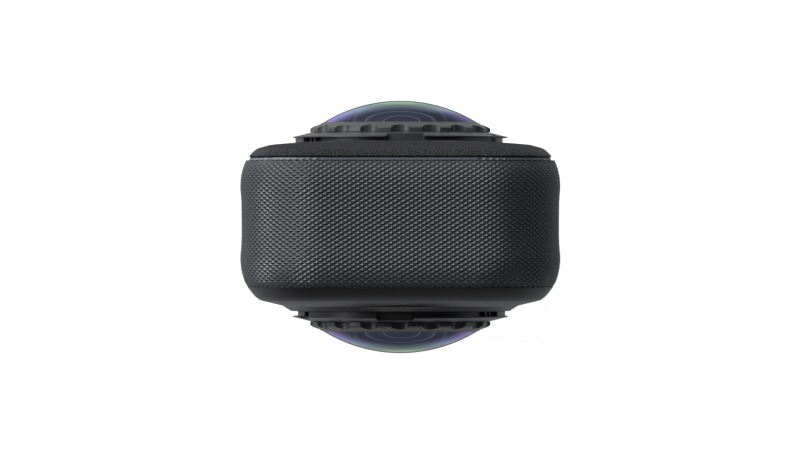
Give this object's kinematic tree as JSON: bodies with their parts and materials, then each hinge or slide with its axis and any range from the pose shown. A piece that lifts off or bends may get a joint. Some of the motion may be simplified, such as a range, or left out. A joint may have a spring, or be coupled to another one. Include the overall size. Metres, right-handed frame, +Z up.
{
  "type": "360 degree camera",
  "caption": "Pocket spherical camera: tall rounded body with a knurled grip band, twist-off dome lenses on both faces, screen, side battery, port door and tripod thread.",
  "frame": {"origin": "mouth of the tripod thread, in the middle of the base", "axes": "+Z up along the body, +Y out of the grained front cover, +X towards the side with the port door and side buttons"},
  "size_m": [0.046, 0.0366, 0.114],
  "materials": {
    "frame_alloy": "machined",
    "band_knurl": "knurled",
    "front_grain": "leather grain",
    "rear_satin": "fine grain",
    "seal_rubber": "matte",
    "mount_black": "satin",
    "ring_black": "satin",
    "dome_glass": "coated",
    "element_glass": "coated",
    "barrel_black": "matte",
    "fastener_steel": "plain",
    "thread_steel": "turned",
    "sensor_dark": "glossy",
    "circuit_green": "solder mask",
    "flex_amber": "film",
    "screen_black": "polished",
    "display_dark": "glossy",
    "chip_black": "moulded",
    "copper": "plain",
    "battery_grey": "moulded",
    "contact_gold": "plated",
    "button_black": "satin",
    "speaker_black": "matte",
    "light_pipe": "clear"
  },
  "bodies": {
    "camera_body": {"centre_frame": "frame_alloy", "lens_bulkhead": "frame_alloy", "grip_band": "band_knurl", "front_cover": "front_grain", "rear_cover": "rear_satin", "base_plate": "rear_satin", "front_cover_seal": "seal_rubber", "rear_cover_seal": "seal_rubber", "front_lens_seal": "seal_rubber", "rear_lens_seal": "seal_rubber", "front_lens_mount": "mount_black", "rear_lens_mount": "mount_black", "front_lens_elements": "element_glass", "rear_lens_elements": "element_glass", "front_lens_barrel": "barrel_black", "rear_lens_barrel": "barrel_black", "front_mount_screws": "fastener_steel", "rear_mount_screws": "fastener_steel", "board_screws": "fastener_steel", "usb_door_pin": "fastener_steel", "display_backing": "fastener_steel", "shield_can": "fastener_steel", "card_socket": "fastener_steel", "usb_port": "fastener_steel", "button_switches": "fastener_steel", "microphones": "fastener_steel", "tripod_bush": "thread_steel", "front_image_sensor": "sensor_dark", "rear_image_sensor": "sensor_dark", "front_sensor_board": "circuit_green", "rear_sensor_board": "circuit_green", "main_board": "circuit_green", "usb_board": "circuit_green", "side_button_board": "circuit_green", "sensor_flexes": "flex_amber", "display_flex": "flex_amber", "screen_glass": "screen_black", "display_panel": "display_dark", "processor_chip": "chip_black", "memory_chips": "chip_black", "memory_card": "chip_black", "heat_spreader": "copper", "battery_contacts": "contact_gold", "antenna": "contact_gold", "speaker": "speaker_black", "status_lights": "light_pipe"},
    "front_lens_cap": {"front_lens_ring": "ring_black", "front_dome": "dome_glass"},
    "rear_lens_cap": {"rear_lens_ring": "ring_black", "rear_dome": "dome_glass"},
    "shutter": {"shutter_button": "button_black"},
    "menu": {"menu_button": "button_black"},
    "power": {"power_button": "band_knurl"},
    "quick": {"quick_button": "band_knurl"},
    "port_door": {"usb_door": "band_knurl", "usb_door_seal": "seal_rubber"},
    "battery": {"battery_pack": "battery_grey", "battery_cover": "band_knurl", "battery_cover_seal": "seal_rubber"},
    "latch": {"battery_latch": "band_knurl"}
  },
  "joints": [
    {"name": "front_lens_twist", "type": "hinge", "parent": "camera_body", "child": "front_lens_cap", "pos_m": [0, 0.0142, 0.091], "axis": [0, 1, 0], "range_deg": [0, 40]},
    {"name": "rear_lens_twist", "type": "hinge", "parent": "camera_body", "child": "rear_lens_cap", "pos_m": [0, -0.0142, 0.091], "axis": [0, -1, 0], "range_deg": [0, 40]},
    {"name": "shutter_press", "type": "slide", "parent": "camera_body", "child": "shutter", "axis": [0, 1, 0], "range_m": [0, 0.0004], "stiffness_N_per_m": 2500},
    {"name": "menu_press", "type": "slide", "parent": "camera_body", "child": "menu", "axis": [0, 1, 0], "range_m": [0, 0.0004], "stiffness_N_per_m": 2500},
    {"name": "power_press", "type": "slide", "parent": "camera_body", "child": "power", "axis": [-1, 0, 0], "range_m": [0, 0.0004], "stiffness_N_per_m": 2500},
    {"name": "quick_press", "type": "slide", "parent": "camera_body", "child": "quick", "axis": [-1, 0, 0], "range_m": [0, 0.0004], "stiffness_N_per_m": 2500},
    {"name": "port_door_swing", "type": "hinge", "parent": "camera_body", "child": "port_door", "pos_m": [0.0221, 0.0006, 0.027], "axis": [0, 1, 0], "range_deg": [0, 95]},
    {"name": "battery_slide", "type": "slide", "parent": "camera_body", "child": "battery", "axis": [-1, 0, 0], "range_m": [0, 0.036]},
    {"name": "latch_slide", "type": "slide", "parent": "battery", "child": "latch", "axis": [0, 0, 1], "range_m": [0, 0.0022], "stiffness_N_per_m": 400}
  ]
}
